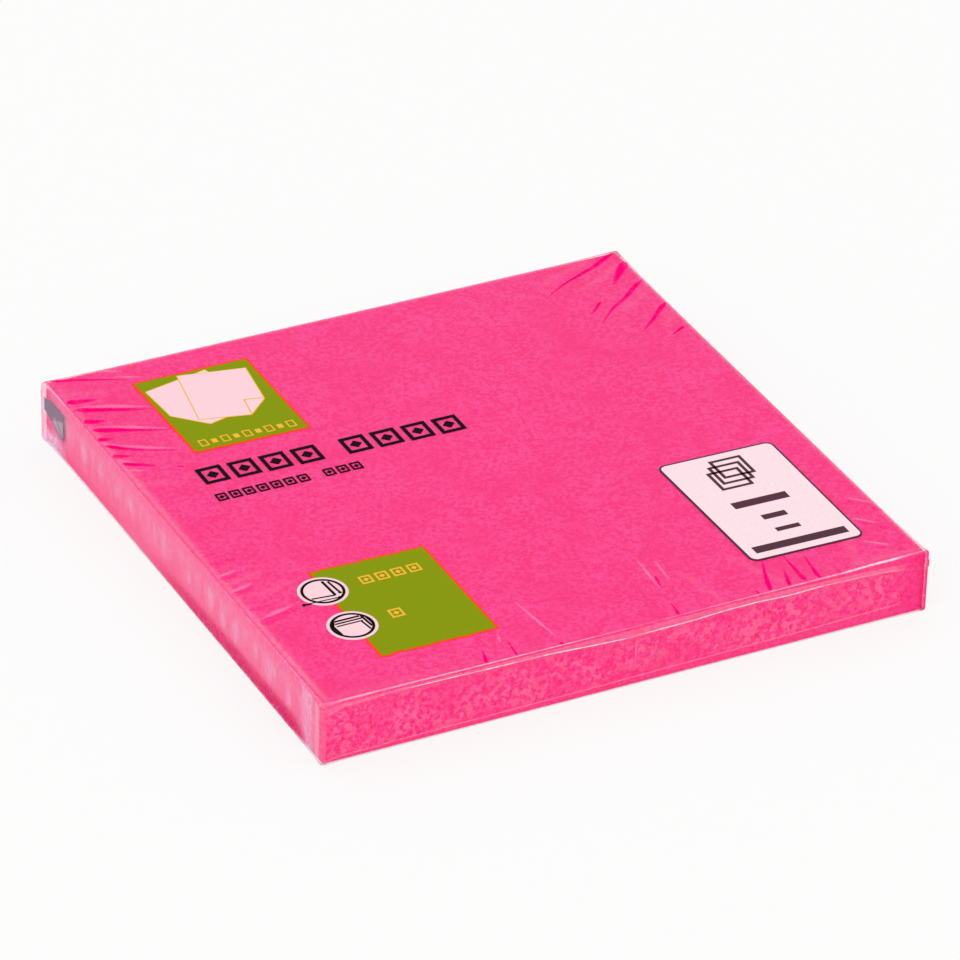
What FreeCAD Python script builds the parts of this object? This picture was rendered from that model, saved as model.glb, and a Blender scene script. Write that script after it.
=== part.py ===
import FreeCAD, Part
import math
import os

# A square pad of sticky notes, sealed in clear shrink film and lying on its back.
# X runs along the front side, Y towards the back and Z up. The origin is on the surface that the
# pad rests on, under the middle of the notes. Every size is in millimetres.

# The notes
note_side = 76.0
note_thickness = 0.095
note_count = 80
joint_depth = 0.02          # how far the cut edge draws in at the joint between two notes

# The backing sheet, which covers the glue of the last note
backing_thickness = 0.1

# The film
film_thickness = 0.05
side_slack = 0.2            # from the cut edges of the notes to the inside of the film

# Every fold of the film is highest at this share of its length, from its outer end
crest_share = 0.4

# The seam, where two plies of film are welded and the trimmed edge shrinks flat against the side
seam_width = 0.75
seam_thickness = 0.12
seam_corner_drop = 1.45     # from the top of the film down to the middle of the seam, at the corners
seam_crest_drop = 0.5       # the same where the seam rides up highest, on the front side
seam_middle_drop = 1.15     # the same at the middle of the front side
seam_wave_drop = 0.9        # the same half way from there to the front right corner
seam_plain_drop = 1.2       # the same at the middle of the right and back sides

# The fold where the film leaves the notes on the front side, just over the bottom edge
fold_height = 0.05
fold_half_width = 0.16
fold_left_rise = 0.75       # from the underside, at the left end
fold_right_rise = 1.9       # the same at the right end
fold_end_gap = 0.9          # from each end of the side
upright_fold_offset = 0.7   # from the middle of the front side to its one upright fold
upright_fold_gap = 0.35     # between that fold, the seam over it and the long fold under it

# The dog ears, one at each corner, where the spare film is drawn together on the left and right sides
ear_reach = 6.0             # along the side, from the corner
ear_rise = 2.6              # up the side, at the corner
ear_proud = 0.6             # how far the tip stands out from the side
ear_foot = 0.3              # from the underside up to the ear

# The pleats that fan out over each ear
pleat_count = 4
pleat_height = 0.22
pleat_half_width = 0.32
pleat_gap = 1.1             # from one pleat's foot to the next, along the side
pleat_spread = 7.0          # how much further each pleat leans than the last one, in degrees
pleat_top_gap = 1.9         # from the top of the film down to the pleats' upper ends
pleat_foot_gap = 0.7        # from the underside up to the pleats' lower ends

# The loose bubble of film at the top of the right side
bubble_length = 7.0
bubble_height = 0.45
bubble_half_width = 0.5
bubble_from_front = 14.5    # from the front side to the middle of the bubble
bubble_drop = 0.75          # from the top of the film to the middle of the bubble

# The wrinkles of the top, in fans that run in from the edges
wrinkle_height = 0.08
wrinkle_half_width = 0.24
wrinkle_margin = 0.9        # from the edge of the film to the wrinkles' outer ends

# Each fan: side, distance from that side's first corner to the first and last wrinkle, gap between
# two of them, length of the first and last, and lean of the first and last in degrees. Each side is
# followed with the pad on the left hand, and a lean turns the wrinkle's inner end towards the last
# corner.
wrinkle_fans = [
    ("front", 28.0, 36.0, 2.7, 6.5, 9.5, -24.0, 4.0),
    ("front", 44.0, 54.0, 5.0, 8.5, 5.0, 10.0, 2.0),
    ("front", 57.0, 69.0, 2.4, 4.0, 7.0, 14.0, -22.0),
    ("right", 5.0, 15.0, 3.3, 8.0, 5.5, 42.0, 38.0),
    ("right", 58.0, 73.0, 3.75, 5.0, 12.5, -32.0, -58.0),
    ("left", 2.5, 21.0, 3.1, 11.0, 5.5, 26.0, 22.0),
    ("left", 40.0, 58.5, 3.1, 4.5, 7.5, 6.0, -16.0),
]


block_height = note_count * note_thickness
block_bottom = film_thickness + backing_thickness
film_top = block_bottom + block_height + film_thickness
film_half = note_side / 2 + side_slack + film_thickness
seam_half = film_half + seam_thickness
wall_reach = side_slack + film_thickness

# Each side's direction, with the pad on the left hand, and the way it faces
sides = {
    "front": (FreeCAD.Vector(1, 0, 0), FreeCAD.Vector(0, -1, 0)),
    "right": (FreeCAD.Vector(0, 1, 0), FreeCAD.Vector(1, 0, 0)),
    "back": (FreeCAD.Vector(-1, 0, 0), FreeCAD.Vector(0, 1, 0)),
    "left": (FreeCAD.Vector(0, -1, 0), FreeCAD.Vector(-1, 0, 0)),
}
up = FreeCAD.Vector(0, 0, 1)


def side_point(side, along, drop, proud=0.0):
    """A point of one side: along from its middle, drop down from the film's top, proud of its face."""
    direction, outward = sides[side]
    return direction * along + outward * (film_half + proud) + up * (film_top - drop)


def top_point(side, from_corner, inward):
    """A point of the top: from_corner along one side from its first corner, and inward from it."""
    direction, outward = sides[side]
    return direction * (from_corner - film_half) + outward * (film_half - inward) + up * film_top


def spread(first, last, count):
    """Evenly spaced values from first to last."""
    if count == 1:
        return [(first + last) / 2]
    return [first + (last - first) * k / (count - 1) for k in range(count)]


def square(half, height):
    """A square outline about the Z axis."""
    corners = [(-half, -half), (half, -half), (half, half), (-half, half), (-half, -half)]
    return Part.makePolygon([FreeCAD.Vector(x, y, height) for x, y in corners])


def rounded_box(half, bottom, top, radius):
    """A box about the Z axis with all twelve edges rounded."""
    corner = FreeCAD.Vector(-half, -half, bottom)
    box = Part.makeBox(2 * half, 2 * half, top - bottom, corner)
    return box.makeFillet(radius, box.Edges)


def crease(start, end, outward, height, half_width):
    """A sharp fold of film that stands up from a face and tapers to a point at both ends.

    It is two pyramids foot to foot. Their shared section is a kite whose widest line lies in the
    middle of the film's thickness, so the fold grows out of the film and reaches nothing under it.
    """
    root = outward * (film_thickness / 2)
    across = outward.cross(end - start).normalize() * half_width
    middle = start + (end - start) * crest_share
    kite = [
        middle + outward * height,
        middle + across - root,
        middle - root - outward * (film_thickness / 3),
        middle - across - root,
    ]
    section = Part.makePolygon(kite + kite[:1])
    return Part.makeLoft([Part.Vertex(start - root), section, Part.Vertex(end - root)], True, True)


def seam_strip(side, drops):
    """The seam along one side, through the given drops from the top, evenly spaced along the side."""
    stations = spread(-seam_half, seam_half, len(drops))

    def edge(shift):
        points = [side_point(side, a, d + shift, -wall_reach) for a, d in zip(stations, drops)]
        curve = Part.BSplineCurve()
        curve.interpolate(points)
        return curve.toShape(), points[0], points[-1]

    upper, upper_start, upper_end = edge(-seam_width / 2)
    lower, lower_start, lower_end = edge(seam_width / 2)
    outline = Part.Wire([
        upper,
        Part.makeLine(upper_end, lower_end),
        lower,
        Part.makeLine(lower_start, upper_start),
    ])
    return Part.Face(outline).extrude(sides[side][1] * (wall_reach + seam_thickness))


def dog_ear(side, end):
    """A pyramid of gathered film, from a three-cornered foot on the side to a tip at its corner.

    end is -1 at the side's first corner and 1 at its last.
    """
    foot_drop = film_top - ear_foot
    corner = end * (film_half - wall_reach)
    foot = [
        side_point(side, corner, foot_drop, -wall_reach),
        side_point(side, corner, foot_drop - ear_rise, -wall_reach),
        side_point(side, corner - end * ear_reach, foot_drop - ear_rise / 5, -wall_reach),
    ]
    tip = side_point(side, corner, foot_drop - ear_rise / 4, ear_proud)
    return Part.makeLoft([Part.makePolygon(foot + foot[:1]), Part.Vertex(tip)], True, True)


def corner_pleats(side, end):
    """The pleats that rise from one ear and lean further from the corner one after another."""
    rise = film_top - pleat_top_gap - pleat_foot_gap
    pleats = []
    for k in range(pleat_count):
        foot = end * (film_half - wall_reach - pleat_half_width - k * pleat_gap)
        lean = math.tan(math.radians(pleat_spread * k)) * rise
        start = side_point(side, foot, film_top - pleat_foot_gap)
        top = side_point(side, foot - end * lean, pleat_top_gap)
        pleats.append(crease(start, top, sides[side][1], pleat_height, pleat_half_width))
    return pleats


def wrinkle_fan(side, first, last, gap, first_length, last_length, first_lean, last_lean):
    """A fan of wrinkles that run in over the top from one side, as many as fit at about that gap."""
    count = round((last - first) / gap) + 1
    places = spread(first, last, count)
    lengths = spread(first_length, last_length, count)
    leans = spread(first_lean, last_lean, count)
    fan = []
    for place, length, lean in zip(places, lengths, leans):
        angle = math.radians(lean)
        start = top_point(side, place, wrinkle_margin)
        end = top_point(
            side,
            place + length * math.sin(angle),
            wrinkle_margin + length * math.cos(angle),
        )
        fan.append(crease(start, end, up, wrinkle_height, wrinkle_half_width))
    return fan


def note_block():
    """The notes, one block ruled through the outline of every cut edge and every joint."""
    outlines = []
    for k in range(note_count):
        foot = block_bottom + k * note_thickness
        outlines.append(square(note_side / 2 - joint_depth, foot))
        outlines.append(square(note_side / 2, foot + note_thickness / 2))
    outlines.append(square(note_side / 2 - joint_depth, block_bottom + block_height))
    return Part.makeLoft(outlines, True, True)


def backing_sheet():
    """The plain sheet under the last note, cut flush with the notes."""
    corner = FreeCAD.Vector(-note_side / 2, -note_side / 2, film_thickness)
    return Part.makeBox(note_side, note_side, backing_thickness, corner)


def wrap_film():
    """The film: one closed skin, with its seam, folds, dog ears, bubble and wrinkles."""
    skin = rounded_box(film_half, 0, film_top, wall_reach)
    cavity = rounded_box(note_side / 2 + side_slack, film_thickness, film_top - film_thickness, side_slack)

    front_drops = [
        seam_corner_drop,
        seam_crest_drop,
        (seam_crest_drop + seam_middle_drop) / 2,
        seam_middle_drop,
        seam_wave_drop,
        seam_wave_drop,
        seam_corner_drop,
    ]
    raised = [
        seam_strip("front", front_drops),
        seam_strip("right", [seam_corner_drop, seam_plain_drop, seam_corner_drop]),
        seam_strip("back", [seam_corner_drop, seam_plain_drop, seam_corner_drop]),
    ]

    fold_end = film_half - fold_end_gap
    front_way = sides["front"][1]
    fold_start = side_point("front", -fold_end, film_top - fold_left_rise)
    fold_stop = side_point("front", fold_end, film_top - fold_right_rise)
    raised.append(crease(fold_start, fold_stop, front_way, fold_height, fold_half_width))
    upright_top = side_point("front", upright_fold_offset, seam_middle_drop + seam_width / 2 + upright_fold_gap)
    upright_foot = side_point("front", upright_fold_offset, film_top - fold_right_rise - upright_fold_gap)
    raised.append(crease(upright_foot, upright_top, front_way, fold_height, fold_half_width))

    for side in ("left", "right"):
        for end in (-1, 1):
            raised.append(dog_ear(side, end))
            raised.extend(corner_pleats(side, end))

    bubble_middle = bubble_from_front - film_half
    bubble_start = side_point("right", bubble_middle - bubble_length / 2, bubble_drop)
    bubble_end = side_point("right", bubble_middle + bubble_length / 2, bubble_drop)
    raised.append(crease(bubble_start, bubble_end, sides["right"][1], bubble_height, bubble_half_width))

    for fan in wrinkle_fans:
        raised.extend(wrinkle_fan(*fan))
    return skin.fuse(raised).cut(cavity)


def save(name, shape):
    """Write one piece, after a check that it is one valid solid."""
    solids = shape.Solids
    print(name, "solids", len(solids), "valid", shape.isValid(), "volume", round(shape.Volume, 3))
    solids[0].exportStep("parts/" + name + ".step")


os.makedirs("parts", exist_ok=True)
save("note_block", note_block())
save("backing_sheet", backing_sheet())
save("wrap_film", wrap_film())
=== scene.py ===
# %% [markdown]
# # A pad of sticky notes in shrink film
# The object is a square block of 80 pink notes with a plain sheet under it, sealed in clear film. The CAD
# model holds its real sizes, and this lesson gives it its looks: the paper, the thin film with every
# fold, and the printed ink. The first cell loads that model as a frame that nothing may move, and keeps
# its box to print beside the finished one at the end.

# %% Load the frame
import math

import bmesh
import bpy
import numpy as np
from mathutils import Matrix, Vector


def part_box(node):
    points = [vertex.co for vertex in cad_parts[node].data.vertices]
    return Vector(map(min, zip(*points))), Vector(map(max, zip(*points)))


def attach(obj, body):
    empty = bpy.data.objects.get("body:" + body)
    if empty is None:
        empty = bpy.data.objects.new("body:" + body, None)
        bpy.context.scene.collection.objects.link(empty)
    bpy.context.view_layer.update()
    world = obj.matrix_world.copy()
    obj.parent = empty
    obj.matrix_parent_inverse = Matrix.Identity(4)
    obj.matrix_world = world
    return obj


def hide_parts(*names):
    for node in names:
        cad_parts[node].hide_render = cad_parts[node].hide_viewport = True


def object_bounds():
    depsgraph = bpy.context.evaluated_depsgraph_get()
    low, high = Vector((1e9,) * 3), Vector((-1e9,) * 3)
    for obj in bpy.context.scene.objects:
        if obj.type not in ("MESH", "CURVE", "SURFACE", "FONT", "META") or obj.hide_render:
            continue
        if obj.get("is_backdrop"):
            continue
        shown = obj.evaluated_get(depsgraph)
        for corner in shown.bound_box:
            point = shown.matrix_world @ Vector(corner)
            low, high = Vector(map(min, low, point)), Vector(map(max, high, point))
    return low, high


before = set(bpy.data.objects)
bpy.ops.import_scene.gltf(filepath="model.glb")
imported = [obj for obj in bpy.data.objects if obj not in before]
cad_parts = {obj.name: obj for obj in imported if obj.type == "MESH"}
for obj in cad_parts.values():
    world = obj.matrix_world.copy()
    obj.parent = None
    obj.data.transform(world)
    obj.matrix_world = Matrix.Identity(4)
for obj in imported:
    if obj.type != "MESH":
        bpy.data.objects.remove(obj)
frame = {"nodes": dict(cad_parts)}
cad_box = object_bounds()
print("pieces in the frame:", ", ".join(frame["nodes"]))

# %% [markdown]
# ## Sizes
# All shapes below are worked out in millimetres, because paper and film are thin, and they turn into
# metres only when a mesh is made. The sizes come from the box of the note block, and the film adds a
# twentieth of a millimetre on top of it.

# %% Sizes in millimetres
MM = 0.001
PAPER_HALF, _, PAPER_TOP = np.array(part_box("note_block")[1]) / MM
FILM_THICK = 0.05
FILM_TOP = PAPER_TOP + FILM_THICK
print("notes", round(2 * PAPER_HALF, 2), "mm wide, top of the film at", round(FILM_TOP, 3), "mm")

# %% [markdown]
# ## The camera
# A long lens from far off keeps the pad's sides almost parallel. Four numbers place the camera: its
# direction, its height, its distance and a small roll. The lens is given by the number of pixels that
# one unit of slope covers in a picture 960 pixels wide.

# %% Place the camera
PICTURE_WIDTH = 960
PIXELS_PER_SLOPE = 6488.2
SENSOR_WIDTH = 36.0
AZIMUTH, ELEVATION, ROLL = (math.radians(angle) for angle in (-27.567, 31.486, 1.614))
DISTANCE = 757.3
AIM = np.array([1.733, 2.691, 3.937])


def camera_axes():
    """The camera's right, up and back: back from azimuth and elevation, right and up turned by the roll."""
    level = math.cos(ELEVATION)
    back = np.array([math.sin(AZIMUTH) * level, -math.cos(AZIMUTH) * level, math.sin(ELEVATION)])
    right = np.cross([0, 0, 1], back)
    right /= np.linalg.norm(right)
    up = np.cross(back, right)
    turn, rest = math.sin(ROLL), math.cos(ROLL)
    return right * rest + up * turn, up * rest - right * turn, back


right, up, back = camera_axes()
camera_data = bpy.data.cameras.new("camera")
camera_data.sensor_width = SENSOR_WIDTH
camera_data.lens = PIXELS_PER_SLOPE * SENSOR_WIDTH / PICTURE_WIDTH
camera_data.clip_start = 0.05
camera = bpy.data.objects.new("camera", camera_data)
bpy.context.scene.collection.objects.link(camera)
eye = (AIM + back * DISTANCE) * MM
rows = [[*axes, spot] for *axes, spot in zip(right, up, back, eye)]
camera.matrix_world = Matrix(rows + [[0, 0, 0, 1]])
bpy.context.scene.camera = camera
print("lens", round(camera_data.lens, 1), "mm at", np.round(eye, 3).tolist())

# %% [markdown]
# ## Shader maths
# A material is a graph of nodes, and long graphs are hard to read. Here a number in the graph is a Python
# value, and an expression such as 1 - mask * 0.5 puts its Math nodes in place. Every other node comes
# from one method, which takes the node's type, its settings and what its sockets hold.

# %% A small language for shaders
class Wire:
    """A socket that gives a value. Arithmetic on it adds Math nodes to its tree."""

    def __init__(self, shader, socket):
        self.shader, self.socket = shader, socket

    def math(self, operation, *terms):
        return self.shader.node("ShaderNodeMath", {"operation": operation}, dict(enumerate(terms)))

    def __add__(self, other):
        return self.math("ADD", self, other)

    def __sub__(self, other):
        return self.math("SUBTRACT", self, other)

    def __rsub__(self, other):
        return self.math("SUBTRACT", other, self)

    def __mul__(self, other):
        return self.math("MULTIPLY", self, other)

    __radd__ = __add__
    __rmul__ = __mul__

    def at_most(self, other):
        return self.math("MINIMUM", self, other)

    def step(self, low, high):
        """0 under low and 1 over high, with a smooth rise between them."""
        settings = {"interpolation_type": "SMOOTHSTEP"}
        sockets = {"Value": self, "From Min": low, "From Max": high}
        return self.shader.node("ShaderNodeMapRange", settings, sockets)


class Shader:
    """The node tree of one new material, or of the world."""

    def __init__(self, holder, output="ShaderNodeOutputMaterial"):
        holder.use_nodes = True
        self.holder, self.tree = holder, holder.node_tree
        self.tree.nodes.clear()
        self.end = self.tree.nodes.new(output)

    def node(self, kind, settings=None, sockets=None, output=0):
        """Add a node: first its settings, then what its sockets hold. Gives the wire of one output."""
        node = self.tree.nodes.new(kind)
        for name, value in (settings or {}).items():
            setattr(node, name, value)
        for name, value in (sockets or {}).items():
            if isinstance(value, Wire):
                self.tree.links.new(value.socket, node.inputs[name])
            else:
                node.inputs[name].default_value = value
        return Wire(self, node.outputs[output])

    def place(self, stretch):
        """Object coordinates in millimetres, each times its own factor."""
        sockets = {
            "Vector": self.node("ShaderNodeTexCoord", output="Object"),
            "Scale": [factor / MM for factor in stretch],
        }
        return self.node("ShaderNodeMapping", {}, sockets)

    def noise(self, size, detail=2.0, stretch=(1, 1, 1), rough=0.5):
        """Noise from 0 to 1 with blots about size millimetres across, shorter where stretch is over 1."""
        sockets = {"Vector": self.place(stretch), "Scale": 1 / size, "Detail": detail, "Roughness": rough}
        return self.node("ShaderNodeTexNoise", {}, sockets)

    def mask(self, name):
        """A number that the mesh holds at each of its points."""
        return self.node("ShaderNodeAttribute", {"attribute_name": name}, output="Fac")

    def blend(self, factor, first, second):
        """One colour into another by a factor."""
        sockets = {0: factor, 6: first, 7: second}
        return self.node("ShaderNodeMix", {"data_type": "RGBA"}, sockets, output=2)

    def matt(self, colour):
        """A shader of plain matt paint."""
        sockets = {"Base Color": colour, "Roughness": 1.0, "Specular IOR Level": 0.0}
        return self.node("ShaderNodeBsdfPrincipled", {}, sockets)

    def bump(self, height, depth, strength=1.0):
        """A normal tilted by height, where 1 stands for depth millimetres."""
        sockets = {"Height": height, "Distance": depth * MM, "Strength": strength}
        return self.node("ShaderNodeBump", {}, sockets)

    def layer(self, factor, under, over):
        """One shader over another by a factor."""
        return self.node("ShaderNodeMixShader", {}, {0: factor, 1: under, 2: over})

    def done(self, surface):
        """Send the last shader to the output. Gives the finished material or world."""
        self.tree.links.new(surface.socket, self.end.inputs["Surface"])
        return self.holder


def rgb(red, green, blue):
    """A colour as seen on a screen, from 0 to 255, as the light values that a shader needs."""
    shown = np.array([red, green, blue]) / 255
    light = np.where(shown <= 0.04045, shown / 12.92, ((shown + 0.055) / 1.055) ** 2.4)
    return (*light.tolist(), 1.0)

# %% [markdown]
# ## Meshes
# Every shape from here on is a list of numpy arrays of points and faces. One function joins such parts,
# turns millimetres into metres and makes the object. It also stores the numbers that the shaders read at
# each point.

# %% Make a mesh from arrays
def mesh_piece(name, parts, material, smooth=True):
    """Join parts of (points, quads, values), where a quad with its last two corners alike is a triangle."""
    sizes = [len(points) for points, _, _ in parts]
    starts = np.cumsum(sizes) - sizes
    points = np.concatenate([points for points, _, _ in parts])
    faces = np.concatenate([np.asarray(part[1]) + start for part, start in zip(parts, starts)])
    counts = np.where(faces[:, 2] != faces[:, 3], 4, 3)
    corners = faces[np.arange(4) < counts[:, None]]
    mesh = bpy.data.meshes.new(name)
    mesh.vertices.add(len(points))
    mesh.vertices.foreach_set("co", (points * MM).ravel())
    mesh.loops.add(len(corners))
    mesh.loops.foreach_set("vertex_index", corners)
    mesh.polygons.add(len(faces))
    mesh.polygons.foreach_set("loop_start", np.cumsum(counts) - counts)
    mesh.polygons.foreach_set("use_smooth", np.full(len(faces), smooth))
    mesh.update(calc_edges=True)
    for key in sorted({key for _, _, values in parts for key in values}):
        data = [np.broadcast_to(values.get(key, 0.0), size) for (_, _, values), size in zip(parts, sizes)]
        numbers = mesh.attributes.new(key, "FLOAT", "POINT").data
        numbers.foreach_set("value", np.concatenate(data).astype(np.float32))
    weld = bmesh.new()
    weld.from_mesh(mesh)
    bmesh.ops.remove_doubles(weld, verts=weld.verts, dist=1e-8)
    weld.to_mesh(mesh)
    weld.free()
    mesh.materials.append(material)
    piece = bpy.data.objects.new(name, mesh)
    bpy.context.scene.collection.objects.link(piece)
    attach(piece, "root")
    return piece


def sheet_quads(rows, columns, first=0):
    """The quads of a grid of points, row after row."""
    corner = (np.arange(rows - 1)[:, None] * columns + np.arange(columns - 1)).ravel() + first
    return np.stack([corner, corner + 1, corner + columns + 1, corner + columns], 1)


def tube_quads(rings, around, first=0):
    """The quads of a tube whose rings of points close on themselves, and which is shut at both ends."""
    ring, along = np.arange(rings - 1)[:, None] * around + first, np.arange(around)
    after = (along + 1) % around
    sides = np.stack([ring + along, ring + after, ring + around + after, ring + around + along], 2)
    fan = np.arange(1, around - 1)
    start = np.stack([first + 0 * fan, first + fan + 1, first + fan, first + fan], 1)
    last = first + (rings - 1) * around
    end = np.stack([last + 0 * fan, last + fan, last + fan + 1, last + fan + 1], 1)
    return np.concatenate([sides.reshape(-1, 4), start, end])

# %% [markdown]
# ## Paper
# The notes are bright pink paper. Its ink absorbs nearly all the green light and a good part of the blue,
# and the fibres give it a fine grain. At the sides the block shows 80 cut edges, each a tenth of a
# millimetre high, so the paper material draws faint level lines there. A few fibres took more ink and
# show as deeper specks. The sheet under the notes is plain white paper.

# %% Paper materials
LIGHT_PINK, DEEP_PINK = rgb(255, 56, 146), rgb(252, 0, 122)


def paper_colour(shader, light, deep, lines=0.0):
    """Two colours mixed by fibre noise, with level lines of that strength where the cut edges lie."""
    cloud = shader.noise(3.0, detail=2)
    fibres = shader.noise(0.5, detail=3, rough=0.7)
    specks = shader.noise(0.7, detail=1).step(0.7, 0.76)
    tone = (cloud * 0.15 + fibres * 0.85).step(0.43, 0.57) * (1 - specks)
    edges = shader.noise(0.1, detail=1, stretch=(0.02, 0.02, 1))
    return shader.blend(tone * (1 - edges.step(0.45, 0.75) * lines), deep, light)


def paper_material(name, light, deep, lines):
    """Matt paper with a faint tooth."""
    shader = Shader(bpy.data.materials.new(name))
    sockets = {
        "Base Color": paper_colour(shader, light, deep, lines),
        "Roughness": 0.85,
        "Normal": shader.bump(shader.noise(0.45, detail=4, rough=0.7), 0.015, 0.5),
    }
    return shader.done(shader.node("ShaderNodeBsdfPrincipled", {}, sockets))


pink_paper = paper_material("pink_paper", LIGHT_PINK, DEEP_PINK, 0.5)
white_paper = paper_material("backing_paper", rgb(240, 239, 236), rgb(228, 226, 222), 0.2)
for node, material in {"note_block": pink_paper, "backing_sheet": white_paper}.items():
    paper = frame["nodes"][node]
    paper.data.materials.clear()
    paper.data.materials.append(material)
    print(node, "is", material.name)

# %% [markdown]
# ## Curves round the wall
# The film's wall differs from place to place: the seam wanders, the corners stand off, the film touches
# the notes in the middle of each side. Each of these is a curve over one number that runs round the pad:
# 0 at the front left corner, 1 at the front right, 2 at the back right, 3 at the back left and 4 back at
# the start. Heights are in millimetres above the table. The first curves are shapes. The others say how
# the film looks there: how much haze it holds, where painted highlights run along the rims, how much pink
# light bounced from the paper is painted into the haze where the film hugs the paper, and where painted
# shade darkens the left side's foot.

# %% The wall's curves
def along_front(table):
    """Turn a table of (x, value) along the front side into one over the number that runs round the pad."""
    return [((x / PAPER_HALF + 1) / 2, value) for x, value in table]


# Shapes: both rims of the seam, the low crease, how far the seam stands out, the lift of the top's rim.
seam_top = along_front([
    (-38, 7.62), (-30, 7.74), (-20, 7.63), (-8, 7.54), (0, 7.45), (0.9, 7.49), (12, 7.6), (20, 7.56),
    (30, 7.36), (34.4, 7.14), (38, 6.84),
])
seam_low = along_front([
    (-38, 6.5), (-35.4, 7.15), (-30, 7.42), (-26, 7.4), (-22, 7.3), (-18, 7.16), (-10, 7.02), (-5, 6.69),
    (-1, 6.49), (0.6, 6.47), (1.0, 6.58), (2, 6.54), (8, 6.63), (12, 6.87), (16, 6.9), (20, 6.72),
    (24, 6.84), (28, 6.75), (32, 6.66), (35.4, 6.27), (38, 6.03),
])
seam_top += [(1.1, 6.9), (1.3, 7.2), (1.5, 7.4), (1.75, 7.3), (2, 6.9), (2.2, 7.2), (2.5, 7.5)]
seam_low += [(1.1, 6.1), (1.3, 6.5), (1.5, 6.7), (1.75, 6.5), (2, 6.1), (2.2, 6.4), (2.5, 6.6)]
seam_top += [(2.8, 7.3), (3, 6.7), (3.1, 6.45), (3.5, 6.42), (3.75, 6.35), (3.92, 6.5), (4, 7.62)]
seam_low += [(2.8, 6.4), (3, 5.9), (3.1, 6.25), (3.5, 6.2), (3.75, 6.15), (3.92, 6.1), (4, 6.5)]
low_crease = along_front([(-38, 0.74), (-28.8, 0.89), (-3.8, 1.02), (21.9, 1.43), (31.4, 1.71), (38, 1.95)])
low_crease += [(1.3, 1.7), (1.7, 1.4), (2, 1.8), (2.4, 1.3), (3, 1.7), (3.2, 1.45), (3.6, 1.6), (4, 0.74)]
seam_proud = [(0, 0.0), (0.06, 0.1), (2.94, 0.12), (3, 0.06), (3.04, 0.0), (4, 0.0)]
top_rise = [(0, 0.28), (0.1, 0.26), (0.25, 0.12), (0.5, 0.0), (0.7, 0.08), (0.86, 0.14), (0.91, 0.3)]
top_rise += [(1, 0.3), (1.01, 0.12), (1.1, 0), (1.9, 0), (1.98, 0.14), (2.02, 0.14), (2.1, 0), (2.9, 0)]
top_rise += [(3, 0.1), (3.1, 0.1), (3.5, 0.0), (3.85, 0.08), (4, 0.28)]

# Painted highlights, drawn as white haze, along the rim of the top and on the seam's lower rim.
rim_painted_highlight = along_front([
    (-38, 0.25), (-34, 0.4), (-22, 0.4), (-17, 0.6), (-8, 0.5), (0, 0.25), (3, 0.15), (10, 0.3), (26, 0.4),
    (29, 0.85), (36, 0.9), (38, 0.7),
])
rim_painted_highlight += [(1.003, 0.2), (1.3, 0.3), (1.9, 0.5), (2, 0.7), (2.1, 0.5), (2.9, 0.4), (3, 0.5), (3.1, 0.2)]
rim_painted_highlight += [(4, 0.2)]
seam_painted_highlight = along_front([
    (-38, 0.2), (-28, 0.3), (-26.5, 0.95), (-22, 0.9), (-20, 0.4), (-18, 0.9), (-15.5, 0.8), (-13, 0.3),
    (-10, 0.9), (-1.5, 0.9), (0, 0.2), (2, 0.6), (5, 0.95), (12, 0.7), (14, 0.95), (22, 0.9), (25, 0.4),
    (33, 0.35), (38, 0.4),
])
seam_painted_highlight += [(1.2, 0.5), (1.4, 0.8), (1.7, 0.3), (2, 0.5), (2.3, 0.8), (2.6, 0.3), (3, 0.4), (3.02, 0.12)]
seam_painted_highlight += [(3.98, 0.12), (4, 0.2)]
# The ears, where the film is gathered at a corner: how far they stand out, their haze and their width.
ear_size = [(0, 0.22), (1, 0.1), (2, 0.15), (3, 0.32), (4, 0.22)]
ear_haze = [(0, 0.15), (1, 0.9), (2, 0.7), (3, 0.4), (3.5, 0.35), (4, 0.3)]
ear_width = [(0, 0.004), (0.5, 0.0105), (1.5, 0.0105), (1.6, 0.02), (4, 0.02)]
near_ear_haze = [(3.92, 0), (3.94, 0.26), (3.968, 0.3), (3.974, 0.08), (3.982, 0.1), (3.988, 0.3), (4, 0.3)]
far_foot_haze = [(2.98, 0), (3, 0.4), (3.04, 0.45), (3.09, 0)]
# Pink light bounced from the paper, painted into the haze; the pink fringe of the right and back rims; and
# painted shade that turns the foot of the left side deep pink.
bounce_pink_share = [(0, 0.25), (0.03, 0), (0.94, 0), (0.97, 0.9), (1, 1), (1.02, 0.9), (1.05, 0.6), (2.95, 0.6)]
bounce_pink_share += [(3, 0.35), (3.03, 0), (3.97, 0), (4, 0.25)]
fringe = [(0, 0), (0.999, 0), (1.001, 1), (2.998, 1), (3.0, 0.3), (3.002, 0), (4, 0)]
left_foot_shade = [(3.25, 0), (3.6, 0.7), (3.9, 1), (3.96, 0)]
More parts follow.
